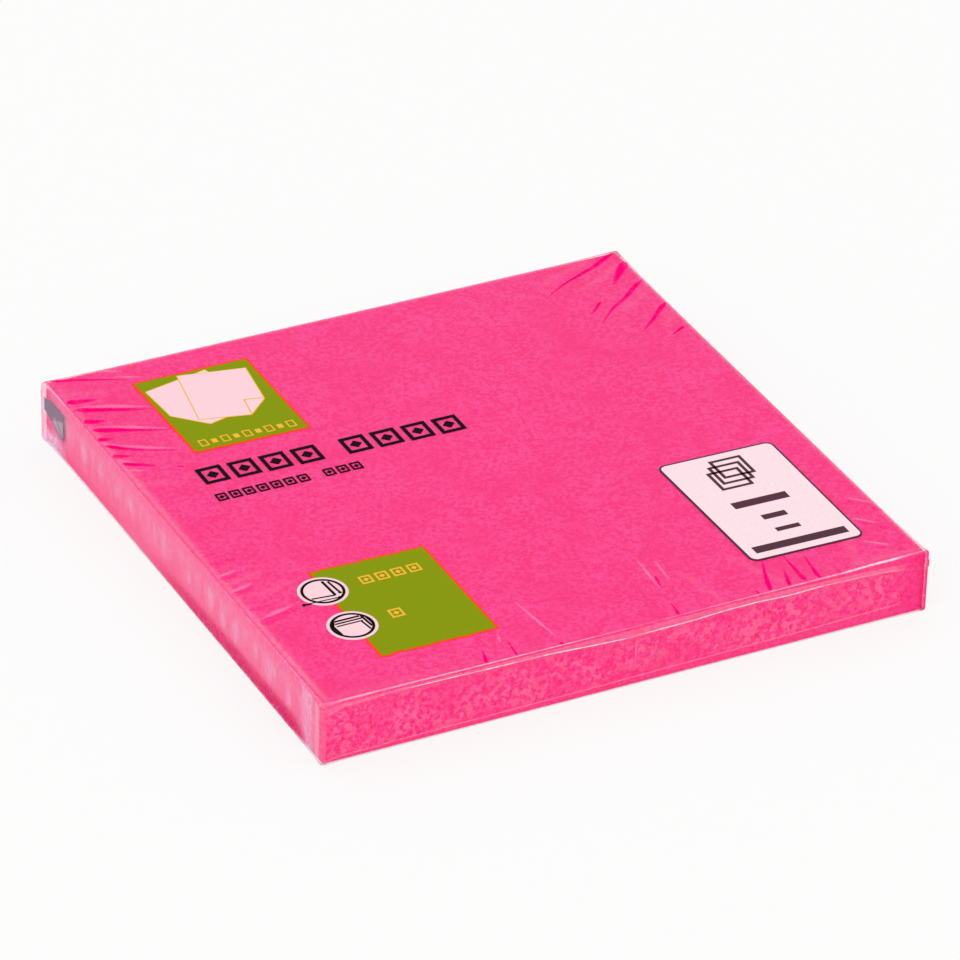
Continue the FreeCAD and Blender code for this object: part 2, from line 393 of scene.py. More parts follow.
# The pale band on the top along the left rim, over y.
left_band = [(-38, 0.2), (-34, 1), (-20, 0.9), (-8, 0.6), (6, 0.9), (22, 0.7), (33, 0.3), (38, 0)]
soft_folds = [    # paths on the top where the film stands off the paper a little
    [(34.6, 37.8), (30.8, 36.4), (26.6, 34.6)], [(36.6, 35.2), (33.8, 33.2), (30.2, 31.5)],
    [(37.8, 28.6), (34.8, 26.4), (32.6, 24.8)], [(37.8, 22.4), (35.2, 19.4)],
    [(-37.6, 34.6), (-33.0, 33.4)], [(-37.4, 12.6), (-33.6, 11.2)],
    [(-36.8, -11.2), (-33.0, -10.6)], [(-35.0, -14.6), (-31.4, -13.9)],
    [(20.0, -36.6), (17.0, -30.0)], [(12.0, -37.0), (10.6, -31.0)], [(29.6, -37.0), (31.4, -31.4)],
]
air_pockets = [    # place from the middle of the left side, half width, foot and top
    (-30.0, 1.0, 3.4, 6.0), (-26.5, 1.2, 3.0, 5.6), (-21.5, 1.0, 3.2, 6.0), (-17.5, 0.8, 3.0, 5.2),
    (-13.0, 1.2, 3.4, 5.8), (-6.2, 0.9, 2.6, 6.1), (-3.5, 1.5, 2.4, 6.1), (2.5, 1.0, 3.2, 5.4),
    (8.2, 1.7, 3.0, 6.2), (12.0, 0.9, 2.6, 5.0), (15.7, 2.1, 1.8, 6.0), (20.5, 1.3, 3.2, 5.6),
    (25.0, 2.1, 2.4, 5.8), (29.5, 1.2, 2.2, 4.8),
]


def curve(table, number):
    """The value at each number, on straight lines through the points of a table."""
    return np.interp(number, *zip(*table))


LEAST_REACH, BOW, EAR_START = 0.08, 0.2, 0.94


def reach(number):
    """How far the film stands out: more by the square of the way from a side's middle, plus an ear."""
    off_middle = np.abs(np.asarray(number) % 1 - 0.5) * 2
    ear = np.clip((off_middle - EAR_START) / (1 - EAR_START), 0, 1)
    swell = curve(ear_size, number) * ear * ear * (3 - 2 * ear)
    return LEAST_REACH + BOW * off_middle ** 2 + swell


def ear_share(number):
    """1 where the film is gathered into an ear at a corner, and 0 further off than the ear's width."""
    off_corner = np.abs((np.asarray(number) + 0.5) % 1 - 0.5) * 2
    return np.clip(2 * (1 - off_corner / curve(ear_width, number)), 0, 1)


print("the film stands out", reach(0.5).round(2), "to", reach(0.0).round(2), "mm from the notes")

# %% [markdown]
# ## The film's skin
# Shrink film is pulled tight by heat. It lies flat on top and turns over the edges, and a welded seam
# runs round three of its sides. The skin below is one closed surface. A grid covers the top, and rows of
# points hang from its rim: the bend over the edge, the wall, and the bend at the foot. The wall's rows
# follow the curves above, so that both rims of the seam and the low crease are real edges. Five numbers
# at each point tell the shader how the film looks there: how hazy, with the painted highlights along the
# rims and the seam, how blotchy, how much pink light bounced from the paper is painted in, how much
# painted shade turns the left side's foot deep pink, and whether it is on the left side.

# %% Build the skin
line = PAPER_HALF - np.array([0, 0.08, 0.2, 0.38, 0.62, 0.95, *np.arange(1.3, PAPER_HALF, 0.42)])
line = np.concatenate([-line, [0.0], line[::-1]])    # places of the columns of points along one side
STEPS = len(line) - 1
BEND_ROWS = 4    # parts of the quarter circle over each edge
CORNER_TURNS = 4    # parts of the quarter circle round each corner
RISE_WIDTH, SOFT_FOLD_WIDTH = 1.1, 0.5
BEND_HIGHLIGHT_SHARE = np.array([1.0, 1.0, 0.4])[:, None]    # the share of the rim's painted highlight on each row of the upper bend
FOOT_HAZE = np.array([0.25, 0.4, 0.4, 0.03])[:, None]   # haze on each row of the bend at the foot
# Pink light bounced from the paper, painted into the haze of the bend at the foot.
FOOT_BOUNCE_PINK = 0.2
# The second number is how opaque the matt layer of painted shade at the left side's foot may become.
POCKET_HAZE, FOOT_SHADE_HAZE = 0.085, 0.45
FOOT_TOP = 3.0    # the height up to which the foot of the left side has its own haze and painted shade
# The fringe's haze, and the pink light bounced from the paper that is painted into it.
FRINGE_HAZE, FRINGE_BOUNCE_PINK = 0.75, 0.85
BAND_HAZE, BAND_PLACE, BAND_WIDTH = 0.2, 0.55, 0.4    # the pale band on the top along the left rim
SOFT_FOLD_HAZE = 0.05
FAR_RIM_HAZE, FAR_RIM_WIDTH = 0.55, 0.25
SEAM_BAND = 0.45    # the seam's height, under which its rows draw together


def rim_of_top():
    """Each point of the rim: its grid column and row, its number round the pad, its way outwards."""
    run = np.arange(STEPS)
    zero, full = np.zeros(STEPS, int), np.full(STEPS, STEPS)
    grid_x = np.concatenate([run, full, STEPS - run, zero])
    grid_y = np.concatenate([zero, run, full, STEPS - run])
    number = (np.arange(4)[:, None] + (line[:-1] / PAPER_HALF + 1) / 2).ravel()
    angle = (np.floor(number) - 1) * 90.0
    first = np.arange(4) * STEPS
    where = np.concatenate([np.repeat(first, CORNER_TURNS), np.arange(4 * STEPS)])
    back_turn = np.tile(np.arange(CORNER_TURNS) / CORNER_TURNS - 1, 4) * 90
    extra = np.concatenate([back_turn, np.zeros(4 * STEPS)])
    order = np.argsort(where * 1000 + extra, kind="stable")
    where, turned = where[order], angle[where[order]] + extra[order]
    ways = np.stack([np.cos(np.radians(turned)), np.sin(np.radians(turned))], 1)
    return grid_x[where], grid_y[where], number[where], ways


rim_x, rim_y, rim_number, rim_way = rim_of_top()


def top_height(x, y):
    """The film's top: flat, plus the rise of the nearest rim times exp(-(way in / RISE_WIDTH) ** 2)."""
    lift = 0
    for across, along, turn in ((y, x, 0), (-x, y, 1), (-y, -x, 2), (x, -y, 3)):
        inward = across + PAPER_HALF
        rise = curve(top_rise, turn + (along / PAPER_HALF + 1) / 2)
        lift = np.maximum(lift, rise * np.exp(-((inward / RISE_WIDTH) ** 2)))
    return FILM_TOP + lift


def left_share(number):
    """1 on the left side and 0 on the others."""
    return np.clip((number - 2.98) / 0.04, 0, 1) * np.clip((4.0 - number) / 0.04, 0, 1)


def wall_rows(number):
    """Each row of the wall from the top down: how far out, how high, its haze, blots and painted shade at
    the foot.
    """
    out, high, low = reach(number), curve(seam_top, number), curve(seam_low, number)
    crease = curve(low_crease, number)
    proud = curve(seam_proud, number)
    start = FILM_TOP + curve(top_rise, number) - out
    high = np.minimum(high, start - 0.03)
    low = np.minimum(low, high - 0.08)
    left_side = left_share(number)
    far_foot = curve(far_foot_haze, number)
    near_ear = curve(near_ear_haze, number)
    rows = []

    def row(height, proud_share, front, left, blotchy=0.0):
        """Add one row, with its haze on the front, right and back, and its haze on the left side."""
        haze = front + (left - front) * left_side
        along = (number - 3.5) * 2 * PAPER_HALF
        for place, half, foot, top in air_pockets:
            off = ((along - place) / half) ** 2 + ((height - (foot + top) / 2) / ((top - foot) / 2)) ** 2
            haze = haze + POCKET_HAZE * np.clip((1 - off) * 1.6, 0, 1) * left_side
        haze = np.maximum(haze, np.maximum(near_ear, far_foot * np.clip((FOOT_TOP - height) / 1.2, 0, 1)))
        # Painted shade: the foot of the left side turns deep pink, darker where less light reaches near the
        # table.
        deep = curve(left_foot_shade, number) * np.clip((FOOT_TOP - height) / 1.8, 0, 1)
        haze = np.maximum(haze, deep * FOOT_SHADE_HAZE)
        blotch = blotchy * (1 - np.minimum(2 * np.maximum(deep, near_ear), 1))
        rows.append((out + proud * proud_share, height, haze, blotch, deep))

    # Painted highlight, drawn as white haze, along the seam's lower rim.
    shine = curve(seam_painted_highlight, number)
    row(start, 0, 0.03, 0.1)
    row(high + 0.04, 0, 0.01, 0.11)
    row(high, 0.6, 0.12, 0.14)
    band = np.minimum((high - low) / SEAM_BAND, 1)
    row(high - 0.1 * band, 1, 0.15, 0.11)
    row((high + low) / 2, 1, 0.13, 0.11)
    row(low + 0.2 * band, 1, 0.15, 0.12)
    row(low + 0.16 * band, 1, shine, shine)
    row(low + 0.07 * band, 1, shine, shine)
    row(low + 0.03 * band, 1, 0.1, 0.13)
    row(low - 0.06, 0, 0.04, 0.14, 0.5)
    for share in np.linspace(0.12, 0.88, 8):
        row(low + (crease - low) * share, 0, 0.05, 0.15 - 0.1 * share, 1.0)
    row(crease + 0.13, 0, 0.04, 0.03, 0.9)
    row(crease + 0.06, 0, 0.2, 0.04, 0)
    row(crease - 0.04, 0, 0.2, 0.04, 0)
    row(crease - 0.1, 0, 0.02, 0.0, 0)
    row(crease * 0.5 + 0.1, 0, 0.02, 0.0, 0)
    row(out, 0, 0.02, 0.0, 0)
    return [np.stack(values) for values in zip(*rows)]


def near_path(x, y, path):
    """How near points lie to a path: 1 on it, and else exp(-(distance / SOFT_FOLD_WIDTH) ** 2)."""
    spots, ends = np.stack([x, y], 1), np.asarray(path, float)
    start, way = ends[:-1, None], np.diff(ends, axis=0)[:, None]
    share = np.clip(((spots - start) * way).sum(2) / (way ** 2).sum(2), 0, 1)[:, :, None]
    distance = np.linalg.norm(spots - start - share * way, axis=2).min(axis=0)
    return np.exp(-(distance / SOFT_FOLD_WIDTH) ** 2)


def skin_part():
    """The whole outer skin as one part for mesh_piece."""
    top_x, top_y = [values.ravel() for values in np.meshgrid(line, line)]
    top = np.stack([top_x, top_y, top_height(top_x, top_y)], 1)
    rim = rim_y * (STEPS + 1) + rim_x
    base, out = top[rim], reach(rim_number)
    turn = np.radians(np.arange(1, BEND_ROWS) * 90 / BEND_ROWS)[:, None]
    edge = FILM_TOP + curve(top_rise, rim_number)
    wall_out, wall_high, wall_haze, wall_blotch, wall_foot_shade = wall_rows(rim_number)
    outs = np.concatenate([out * np.sin(turn), wall_out, out * np.cos(turn), 0 * out[None]])
    over, under = edge - out * (1 - np.cos(turn)), out * (1 - np.sin(turn))
    highs = np.concatenate([over, wall_high, under, 0 * out[None]])
    rows, around = outs.shape
    flat = base[None, :, :2] + outs[:, :, None] * rim_way[None]
    wall = np.concatenate([flat, highs[:, :, None]], 2).reshape(-1, 3)
    first = len(top)
    after = (np.arange(around) + 1) % around
    ring = first + np.arange(around)
    step = np.arange(rows - 1)[:, None] * around
    here, beside = ring + step, ring[after] + step
    hanging = np.stack([here, here + around, beside + around, beside], 2)
    join = np.stack([rim[after], rim, ring, ring[after]], 1)
    join = np.where((rim[after] == rim)[:, None], join[:, [2, 3, 1, 1]], join)
    edge_fringe = curve(fringe, rim_number)
    # Painted highlight along the rim of the top, drawn as haze on the upper bend.
    rim_haze = curve(rim_painted_highlight, rim_number) * BEND_HIGHLIGHT_SHARE
    rim_haze = np.maximum(rim_haze, edge_fringe * FRINGE_HAZE)
    foot_haze = np.broadcast_to(FOOT_HAZE, (BEND_ROWS, around))
    haze = np.concatenate([rim_haze, wall_haze, foot_haze])
    ear = ear_share(rim_number)
    haze = np.maximum(haze, ear * curve(ear_haze, rim_number))
    none_above, none_below = np.zeros((BEND_ROWS - 1, around)), np.zeros((BEND_ROWS, around))
    blotch = np.concatenate([none_above, wall_blotch, none_below])
    blotch = blotch * (1 - np.minimum(ear * 3, 1))
    at_foot = (np.arange(rows) >= rows - BEND_ROWS)[:, None]
    # Pink light bounced from the paper, painted into the haze on the sides, the ears and the bend at the
    # foot.
    tint = np.maximum(curve(bounce_pink_share, rim_number), at_foot * FOOT_BOUNCE_PINK)
    tint[:BEND_ROWS - 1] = np.maximum(tint[:BEND_ROWS - 1], edge_fringe * FRINGE_BOUNCE_PINK)
    # The painted shade at the left side's foot carries on round the bend at the foot.
    foot_shade_below = np.repeat(wall_foot_shade[-1:], BEND_ROWS, 0)
    deep = np.concatenate([none_above, wall_foot_shade, foot_shade_below])
    inward = (top_x + PAPER_HALF - BAND_PLACE) / BAND_WIDTH
    top_haze = BAND_HAZE * np.exp(-inward ** 2) * curve(left_band, top_y)
    top_haze += SOFT_FOLD_HAZE * sum(near_path(top_x, top_y, path) for path in soft_folds)
    off_rim = PAPER_HALF - np.maximum(top_x, top_y)
    far_rim = np.exp(-(off_rim / FAR_RIM_WIDTH) ** 2)
    top_haze = np.maximum(top_haze, FAR_RIM_HAZE * far_rim)
    # The rim points of the top hold half of the painted rim highlight.
    top_haze[rim] = curve(rim_painted_highlight, rim_number) * 0.5
    centre = np.array([[0, 0, 0]])
    bottom = first + (rows - 1) * around
    cap = np.stack([bottom + after, bottom + np.arange(around), np.full(around, first + rows * around)], 1)
    faces = [sheet_quads(STEPS + 1, STEPS + 1), join, hanging.reshape(-1, 4), cap[:, [0, 1, 2, 2]]]
    left = np.broadcast_to(left_share(rim_number), haze.shape)
    values = {
        "haze": np.concatenate([top_haze, haze.ravel(), [0.03]]),
        "blotch": np.concatenate([0 * top_haze, blotch.ravel(), [0]]),
        "tint": np.concatenate([FRINGE_BOUNCE_PINK * far_rim, tint.ravel(), [0]]),
        "deep": np.concatenate([0 * top_haze, deep.ravel(), [0]]),
        "left": np.concatenate([0 * top_haze, left.ravel(), [0]]),
    }
    return np.concatenate([top, wall, centre]), np.concatenate(faces), values

# %% [markdown]
# ## Clear film
# Film this thin is nearly invisible. What gives it away is the white room that it mirrors, and a haze
# where it is folded or stands off the paper. So the material is clear, with a mirror layer that grows as
# the view gets flatter, and with haze from the mesh over it. The haze's colour holds painted light: pink
# light bounced from the paper, and painted shade at the foot of the left side. Where the film clings to
# the cut edges, the haze is in small blots, drawn by a noise that is cut off sharply. On the left side it
# hangs like a pale veil with soft upright streaks.

# %% Film material
MIRROR_LEAST, MIRROR_EDGE = 0.016, 0.9
VEIL, LEFT_VEIL = rgb(255, 224, 244), rgb(250, 209, 244)
# Pink light bounced from the paper, painted into the haze, and deep pink for the painted shade at the left
# side's foot.
BOUNCED_PINK, FOOT_SHADE_PINK = rgb(255, 62, 142), rgb(232, 22, 118)


def mirrored(shader, under):
    """A faint mirror over another shader, with a share of MIRROR_LEAST + MIRROR_EDGE * facing ** 5."""
    facing = shader.node("ShaderNodeLayerWeight", {}, {"Blend": 0.5}, output="Facing")
    share = facing.math("POWER", facing, 5.0) * MIRROR_EDGE + MIRROR_LEAST
    ripples = shader.bump(shader.noise(3.5, detail=2), 0.04, 0.5)
    shine = shader.node("ShaderNodeBsdfAnisotropic", {}, {"Roughness": 0.12, "Normal": ripples})
    return shader.layer(share, under, shine)


def film_material():
    """Clear film with its mirror, and haze over it: white, with pink light from the paper and shade at the
    left side's foot painted in.
    """
    shader = Shader(bpy.data.materials.new("clear_film"))
    blots = shader.noise(0.8, detail=3, rough=0.6).step(0.5, 0.515)
    streaks = shader.noise(1.6, detail=3, stretch=(1, 1, 0.3)).step(0.44, 0.56)
    clouds = shader.noise(6.0, detail=2).step(0.35, 0.65)
    specks = shader.noise(0.6, detail=2).step(0.4, 0.6)
    blotch, left = shader.mask("blotch"), shader.mask("left")
    patches = (blots * (clouds * 1.6 + 0.7) + specks * 0.4) * (1 - left) + (streaks * 0.5 + 0.75) * left
    cling = blotch * patches + (1 - blotch) * (specks * 0.4 + 0.8)
    haze = (shader.mask("haze") * cling * (left * 0.5 + 1)).at_most(0.95)
    clear = shader.node("ShaderNodeBsdfTransparent")
    # Pink light bounced from the paper is painted into the haze's colour.
    colour = shader.blend(shader.mask("tint"), shader.blend(left, VEIL, LEFT_VEIL), BOUNCED_PINK)
    # Painted shade: the haze turns deep pink at the foot of the left side.
    colour = shader.blend(shader.mask("deep").step(0, 0.5), colour, FOOT_SHADE_PINK)
    return shader.done(shader.layer(haze, mirrored(shader, clear), shader.matt(colour)))


clear_film = film_material()
skin = mesh_piece("film_skin", [skin_part()], clear_film)
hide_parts("wrap_film")
print(skin.name, "has", len(skin.data.polygons), "faces")

# %% [markdown]
# ## Placing things on the film
# Folds, streaks and ink all sit on the skin. One function turns a place on a face of the pad into a
# point: how far along the face, how far up or back, and how far out. On the walls the distance along runs
# round the pad, so that it grows to the right for someone who looks at that wall.

# %% Shapes on the skin
def onto(face, along, other, out):
    """Points on the top (along is x, other is y) or on a wall (other is the height above the table)."""
    along, other, out = np.broadcast_arrays(along, other, out)
    if face == "top":
        return np.stack([along, other, top_height(along, other) + out], -1)
    side = ["front", "right", "back", "left"].index(face)
    distance = PAPER_HALF + reach(side + (along / PAPER_HALF + 1) / 2) + out
    flat = [(along, -distance), (distance, along), (-along, distance), (-distance, -along)][side]
    return np.stack([*flat, other], -1)


ABOVE_SKIN = 0.003
STRIP_POINTS, STRIP_ACROSS = 25, 9
POINTED = 0.45    # the power by which a strip swells from its ends


def fold_part(face, path, width, height, crisp=1.0, lead=0.5, peak=1.0):
    """A strip along a path, pointed at its ends and widest at the share lead: 1 - across ** 2 high."""
    path = np.asarray(path, float)
    length = np.concatenate([[0], np.cumsum(np.hypot(*np.diff(path, axis=0).T))])
    share = np.linspace(0, 1, STRIP_POINTS)
    centre = np.stack([np.interp(share * length[-1], length, path[:, axis]) for axis in (0, 1)], 1)
    centre[1:-1] = (centre[:-2] + 2 * centre[1:-1] + centre[2:]) / 4
    way = np.gradient(centre, axis=0)
    way /= np.linalg.norm(way, axis=1, keepdims=True)
    swell = np.minimum(share / lead, 1) * np.minimum((1 - share) / (1 - lead), 1)
    swell = swell[:, None] ** POINTED
    across = np.linspace(-1, 1, STRIP_ACROSS)
    arch = 1 - across ** 2
    half = np.maximum(swell, 0.02) * width / 2 * across
    spots = centre[:, None] + half[:, :, None] * np.stack([way[:, 1], -way[:, 0]], 1)[:, None]
    points = onto(face, spots[..., 0], spots[..., 1], swell * height * arch + ABOVE_SKIN)
    cover = np.minimum(swell * arch * crisp, peak).ravel()
    return points.reshape(-1, 3), sheet_quads(STRIP_POINTS, STRIP_ACROSS), {"cover": cover}


def plate_part(face, loop, low, high):
    """A thin plate whose outline is a loop, counterclockwise, that its middle sees all of."""
    loop = np.asarray(loop, float)
    middle = np.broadcast_to(loop.mean(axis=0), loop.shape)
    rings = np.stack([middle, loop, loop, middle])
    out = np.array([low, low, high, high])[:, None]
    return onto(face, rings[..., 0], rings[..., 1], out).reshape(-1, 3), tube_quads(4, len(loop)), {}


def band_part(face, outer, inner, low, high):
    """A thin flat band between two loops of as many points."""
    outer, inner = np.asarray(outer, float), np.asarray(inner, float)
    rings = np.stack([outer, outer, inner, inner, outer])
    out = np.array([low, high, high, low, low])[:, None]
    points = onto(face, rings[..., 0], rings[..., 1], out).reshape(-1, 3)
    return points, tube_quads(5, len(outer))[:4 * len(outer)], {}


def pen_part(face, start, end, width, low, high):
    """A thin straight pen stroke."""
    start, end = np.asarray(start, float), np.asarray(end, float)
    way = (end - start) / np.linalg.norm(end - start) * width / 2
    aside = np.array([way[1], -way[0]])
    return plate_part(face, [start - aside, start + aside, end + aside, end - aside][::-1], low, high)

# %% [markdown]
# ## Folds in the film
# Where the film had more width than it needed, it shrank into small folds. They start at the rim and run
# inwards, like pleats under a tight strap. A fold that stands off the paper looks pale, from haze and from
# a highlight on its crest, both painted as one pale colour. Beside it the film is pressed onto the paper,
# where the full colour shows as a dark streak. Both are thin strips on the skin, each along its own path.
# They are clear at their rims and throw no shadow, so that they melt into the skin with no line round
# them. The softest folds are a little haze in the skin itself.

# %% Draw the folds
fold_highlights = [    # the width and path of each, on the top
    (0.5, [(-30.4, 36.0), (-26.8, 34.4)]), (0.6, [(-31.9, 38.2), (-28.6, 36.6)]),
    (0.9, [(-37.0, 31.3), (-33.4, 30.0), (-28.9, 27.9)]),
    (0.9, [(-37.0, 26.4), (-34.4, 25.3), (-31.4, 23.7), (-28.9, 22.5)]),
    (0.9, [(-37.7, 22.7), (-35.4, 20.9), (-32.4, 19.1), (-29.3, 17.8)]),
    (0.6, [(-37.6, 18.4), (-35.9, 17.1)]), (0.6, [(-37.4, 15.8), (-35.4, 15.0)]),
    (0.5, [(38.0, -26.3), (35.4, -23.8)]), (0.5, [(36.4, -30.4), (33.6, -27.8)]),
    (0.5, [(35.6, -35.4), (32.4, -32.7)]),
    (0.4, [(-14.6, -34.7), (-14.2, -33.0)]), (0.5, [(-8.4, -36.9), (-9.1, -30.4), (-9.5, -27.3)]),
    (0.5, [(6.7, -32.2), (7.3, -25.3)]), (0.4, [(8.6, -31.4), (9.0, -26.3)]),
    (0.7, [(-37.6, -9.4), (-34.9, -8.8)]), (0.8, [(-37.6, -13.0), (-34.4, -12.0)]),
    (0.9, [(-37.0, -19.3), (-32.2, -18.1)]),
]
dark_streaks = [
    (0.45, [(-37.7, 38.0), (-34.4, 37.0), (-31.4, 35.8), (-28.3, 34.3)]),
    (0.9, [(-37.8, 32.6), (-33.8, 32.0)]),
    (0.8, [(-37.7, 30.8), (-35.9, 30.1), (-33.4, 29.1), (-29.0, 27.3)]),
    (0.9, [(-37.7, 27.8), (-34.9, 27.0)]),
    (0.85, [(-37.7, 25.8), (-33.4, 24.1), (-31.4, 23.2), (-28.8, 22.1)]),
    (0.8, [(-37.8, 23.4), (-35.8, 23.0)]),
    (0.8, [(-37.7, 21.9), (-34.4, 19.8), (-31.9, 18.5), (-30.0, 17.6)]),
    (0.8, [(-37.8, 19.3), (-35.6, 18.7)]),
    (0.7, [(-37.4, 17.5), (-35.9, 16.6), (-33.7, 15.4)]), (0.3, [(-31.7, 14.4), (-30.8, 13.8)]),
    (0.55, [(37.9, 37.9), (36.4, 37.3), (33.7, 35.8), (28.8, 33.7), (25.1, 31.4)]),
    (1.0, [(38.0, 35.3), (36.4, 33.7), (34.0, 30.9)]),
    (0.55, [(38.0, 30.7), (36.4, 29.7), (33.9, 27.6), (31.4, 26.0), (28.3, 23.1)]),
    (0.35, [(30.8, 28.0), (28.0, 25.4)]),
    (0.55, [(38.0, 24.7), (36.6, 23.6), (34.9, 21.9), (31.9, 19.4)]), (0.4, [(37.2, 18.6), (34.7, 17.3)]),
    (0.5, [(17.8, -38.0), (19.2, -34.0), (20.3, -31.4)]), (0.45, [(20.3, -38.0), (21.5, -34.4)]),
    (0.5, [(22.5, -38.0), (22.8, -31.6)]), (0.45, [(24.2, -38.0), (25.0, -32.6)]),
    (0.4, [(-18.0, -38.0), (-17.1, -35.0)]), (0.3, [(-14.2, -38.0), (-13.7, -34.4)]),
    (0.4, [(-8.7, -38.0), (-8.4, -37.4)]), (0.3, [(7.5, -29.6), (7.0, -32.4)]),
    (0.4, [(6.1, -38.0), (6.5, -35.4)]), (0.3, [(16.3, -38.0), (16.4, -36.9)]),
]
faint_streaks = [
    (0.6, [(26.8, -38.0), (27.0, -36.2)]), (0.4, [(28.2, -37.6), (28.0, -35.9)]),
    (0.8, [(34.9, -24.7), (35.9, -25.5)]), (0.7, [(37.4, -26.8), (37.9, -28.4)]),
    (0.7, [(34.5, -29.4), (35.3, -30.3)]), (0.7, [(36.0, -31.0), (36.8, -31.8)]),
    (0.6, [(33.5, -34.5), (34.3, -35.3)]), (0.6, [(35.4, -36.0), (36.2, -36.8)]),
    (0.5, [(-37.4, -4.7), (-35.4, -4.7)]), (0.6, [(-37.4, -6.5), (-33.9, -6.7)]),
    (0.8, [(-37.7, -10.0), (-34.4, -9.4)]), (0.8, [(-37.7, -13.6), (-34.4, -12.7)]),
    (0.6, [(-37.4, -17.2), (-33.4, -17.0)]), (1.0, [(-37.4, -20.4), (-34.2, -19.4), (-31.9, -18.9)]),
]
upright_fold = [(0.7, 2.3), (0.75, 6.45)]
FOLD_RIMS, STREAK_RIMS = 1.1, 1.5    # how much wider a strip is made, because its rims are clear
FULL_STREAK, FAINT_STREAK = 0.75, 0.22
FOLD_HIGH, STREAK_HIGH = 0.01, 0.006


def strip_material(name, colour, strength):
    """Clear at the strip's rims, and one colour where the strip covers fully."""
    shader = Shader(bpy.data.materials.new(name))
    clear = shader.node("ShaderNodeBsdfTransparent")
    uneven = shader.noise(1.2, detail=4).step(0.3, 0.5) * 0.3 + 0.7
    share = (shader.mask("cover") * uneven * strength).at_most(1.0)
    return shader.done(shader.layer(share, clear, shader.matt(colour)))


# The pale folds' colour is a painted highlight on each crest, together with the haze where the film stands
# off.
fold_highlight_film = strip_material("fold_highlights", rgb(255, 148, 190), 0.6)
pressed_film = strip_material("pressed_streaks", rgb(255, 0, 120), 1.3)
fold_highlight_parts = [fold_part("top", path, width * FOLD_RIMS, FOLD_HIGH) for width, path in fold_highlights]
fold_highlight_parts.append(fold_part("front", upright_fold, 0.3, FOLD_HIGH))
dark_parts = [
    fold_part("top", path, width * STREAK_RIMS, STREAK_HIGH, crisp=1.2, lead=0.14, peak=peak)
    for streaks, peak in ((dark_streaks, FULL_STREAK), (faint_streaks, FAINT_STREAK))
    for width, path in streaks
]
strips = {"film_folds": (fold_highlight_parts, fold_highlight_film), "pressed_streaks": (dark_parts, pressed_film)}
for name, (parts, material) in strips.items():
    piece = mesh_piece(name, parts, material, smooth=False)
    piece.visible_shadow = piece.visible_diffuse = False
    print(piece.name, "has", len(piece.data.polygons), "faces")

# %% [markdown]
# ## Ink
# The film is printed before it shrinks, so the straight edges of the print come out a little crooked.
# Each printed field is drawn in a unit square and then stretched to its four real corners. The ink lies
# on the film as thin plates, one colour over another. Inside the fields are plain shapes only: sheets,
# rows of tiles, and bars.

# %% Print the fields
INK_DEPTH, INK_HIGH, INK_STEP = 0.03, 0.006, 0.012
FIELD_LINE, FIELD_INSET = 0.4, 0.3


def spots(corners, flat):
    """Stretch points of the unit square to four corners: left low, right low, right high, left high."""
    across, up_part = np.asarray(flat, float).T[:, :, None]
    low = corners[0] + (corners[1] - corners[0]) * across
    high = corners[3] + (corners[2] - corners[3]) * across
    return low + (high - low) * up_part


def box_loop(left, low, right, high, per_side=1):
    """The outline of a box, counterclockwise, with that many points on each side."""
    share = np.arange(per_side)[:, None] / per_side
    corners = np.array([[left, low], [right, low], [right, high], [left, high]], float)
    return np.concatenate([a + (b - a) * share for a, b in zip(corners, np.roll(corners, -1, 0))])


def disc_loop(centre, radius, points=48):
    """A circle, counterclockwise, of that many points."""
    angle = np.arange(points) / points * 2 * np.pi
    return np.asarray(centre) + np.stack([np.cos(angle), np.sin(angle)], 1) * radius


def shrink(loop, margin):
    """A loop drawn in by a margin, from the turn at each of its points."""
    before, after = loop - np.roll(loop, 1, 0), np.roll(loop, -1, 0) - loop
    before /= np.linalg.norm(before, axis=1, keepdims=True)
    after /= np.linalg.norm(after, axis=1, keepdims=True)
    inward = np.stack([-(before + after)[:, 1], (before + after)[:, 0]], 1)
    return loop + inward * margin / (1 + (before * after).sum(1))[:, None]


class Ink:
    """One colour of ink: its shapes are gathered and become one piece."""

    def __init__(self, name, colour, layer, face="top"):
        self.name, self.face, self.parts = name, face, []
        self.low, self.high = -INK_DEPTH, INK_HIGH + layer * INK_STEP
        shader = Shader(bpy.data.materials.new(name))
        grain = shader.noise(0.3, detail=3)
        tone = shader.blend(grain.step(0.3, 0.7), (*[0.95 * part for part in colour[:3]], 1.0), colour)
        sockets = {"Base Color": tone, "Roughness": 0.5, "Specular IOR Level": 0.03}
        self.material = shader.done(shader.node("ShaderNodeBsdfPrincipled", {}, sockets))

    def fill(self, loop, lift=0.0):
        self.parts.append(plate_part(self.face, loop, self.low, self.high + lift))

    def outline(self, loop, width):
        inner = shrink(np.asarray(loop, float), width)
        self.parts.append(band_part(self.face, loop, inner, self.low, self.high))

    def stroke(self, start, end, width):
        self.parts.append(pen_part(self.face, start, end, width, self.low, self.high))

    def made(self):
        piece = mesh_piece(self.name, self.parts, self.material, smooth=False)
        print(piece.name, "has", len(self.parts), "shapes")


orange = Ink("ink_orange", rgb(255, 78, 8), 0)
green = Ink("ink_green", rgb(136, 153, 0), 1)
yellow = Ink("ink_yellow", rgb(246, 190, 60), 2)
pale = Ink("ink_pale", rgb(255, 214, 222), 3)
black = Ink("ink_black", rgb(16, 8, 12), 4)
label_white = Ink("ink_label", rgb(254, 228, 235), 5)
plum = Ink("ink_plum", rgb(88, 52, 66), 6)

